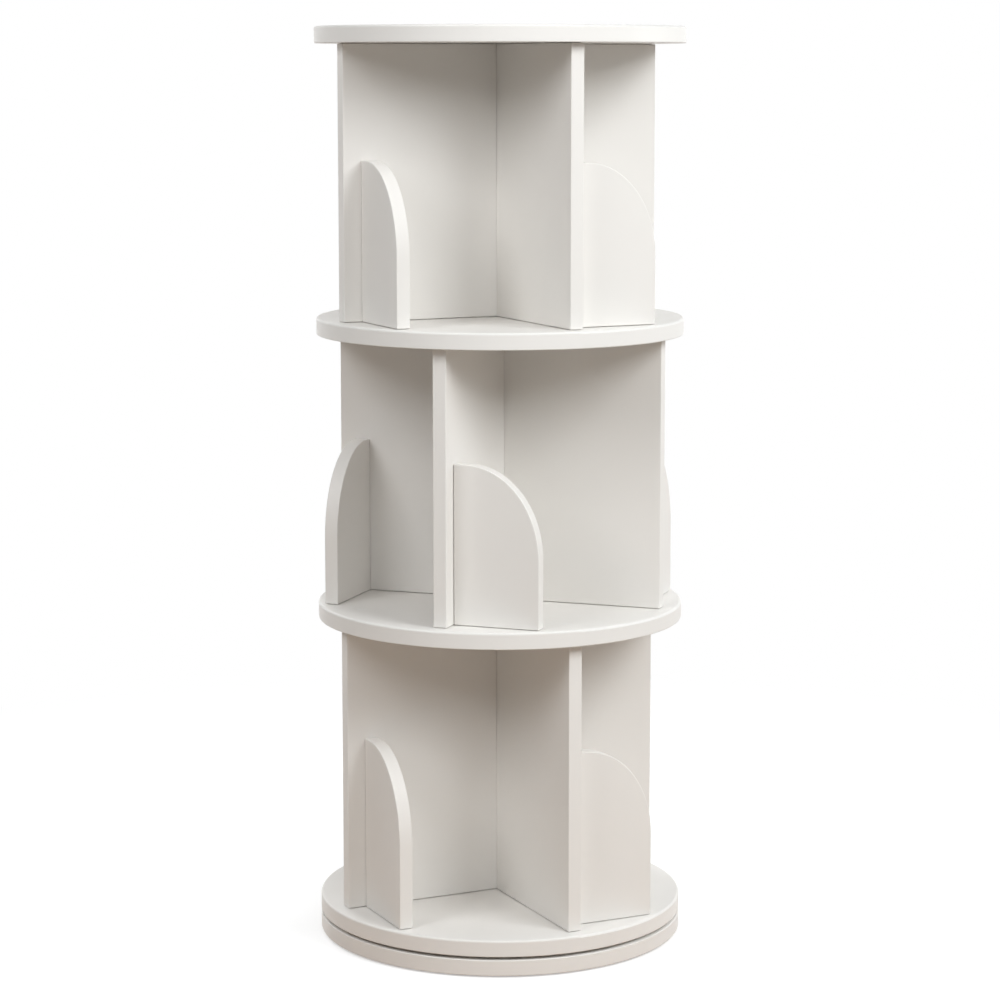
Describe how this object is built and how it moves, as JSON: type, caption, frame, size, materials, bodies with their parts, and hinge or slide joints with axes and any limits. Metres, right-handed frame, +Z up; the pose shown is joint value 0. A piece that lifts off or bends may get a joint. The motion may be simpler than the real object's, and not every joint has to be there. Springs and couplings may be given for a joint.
{
  "type": "rotating media tower",
  "caption": "Free-standing round tower of stacked shelves on a swivel base; crossed panels and curved fences part each tier into open bays for books and media.",
  "frame": {"origin": "the point on the floor below the middle of the tower, on the swivel's axis", "axes": "+Z up along the swivel's axis; X and Y along the crossed panels of the lower and upper tiers at rest"},
  "size_m": [0.3999, 0.4, 0.9945],
  "materials": {
    "disc_white": "satin white lacquer",
    "panel_white": "satin white lacquer",
    "fence_white": "satin white lacquer",
    "cover_white": "satin",
    "pad_foam": "matte foam",
    "dowel_wood": "plain beech",
    "screw_steel": "zinc plated",
    "ball_steel": "polished",
    "bearing_aluminium": "turned",
    "cage_plastic": "nylon"
  },
  "bodies": {
    "base": {"base_disc": "disc_white", "foot_pads": "pad_foam", "bearing_inner_ring": "bearing_aluminium", "inner_ring_screws": "screw_steel"},
    "ball_cage": {"bearing_balls": "ball_steel", "bearing_cage": "cage_plastic"},
    "tower": {"bearing_outer_ring": "bearing_aluminium", "outer_ring_screws": "screw_steel", "turntable_disc": "disc_white", "lower_shelf": "disc_white", "upper_shelf": "disc_white", "top_disc": "disc_white", "lower_cross_panel_1": "panel_white", "lower_cross_panel_2": "panel_white", "middle_cross_panel_1": "panel_white", "middle_cross_panel_2": "panel_white", "upper_cross_panel_1": "panel_white", "upper_cross_panel_2": "panel_white", "lower_fence_1": "fence_white", "lower_fence_2": "fence_white", "lower_fence_3": "fence_white", "lower_fence_4": "fence_white", "middle_fence_1": "fence_white", "middle_fence_2": "fence_white", "middle_fence_3": "fence_white", "middle_fence_4": "fence_white", "upper_fence_1": "fence_white", "upper_fence_2": "fence_white", "upper_fence_3": "fence_white", "upper_fence_4": "fence_white", "lower_floor_screws": "screw_steel", "lower_ceiling_screws": "screw_steel", "lower_fence_screws": "screw_steel", "middle_floor_screws": "screw_steel", "middle_ceiling_screws": "screw_steel", "middle_fence_screws": "screw_steel", "upper_floor_screws": "screw_steel", "upper_ceiling_screws": "screw_steel", "upper_fence_screws": "screw_steel", "lower_screw_covers": "cover_white", "middle_screw_covers": "cover_white", "upper_screw_covers": "cover_white", "lower_fence_dowels": "dowel_wood", "middle_fence_dowels": "dowel_wood", "upper_fence_dowels": "dowel_wood"}
  },
  "joints": [
    {"name": "tower_spin", "type": "hinge", "parent": "base", "child": "tower", "pos_m": [0, 0, 0.0225], "axis": [0, 0, 1], "continuous": true},
    {"name": "cage_spin", "type": "hinge", "parent": "base", "child": "ball_cage", "pos_m": [0, 0, 0.018], "axis": [0, 0, 1], "continuous": true}
  ],
  "couplings": [
    {"joint": "cage_spin", "follows": "tower_spin", "ratio": 0.5093}
  ]
}
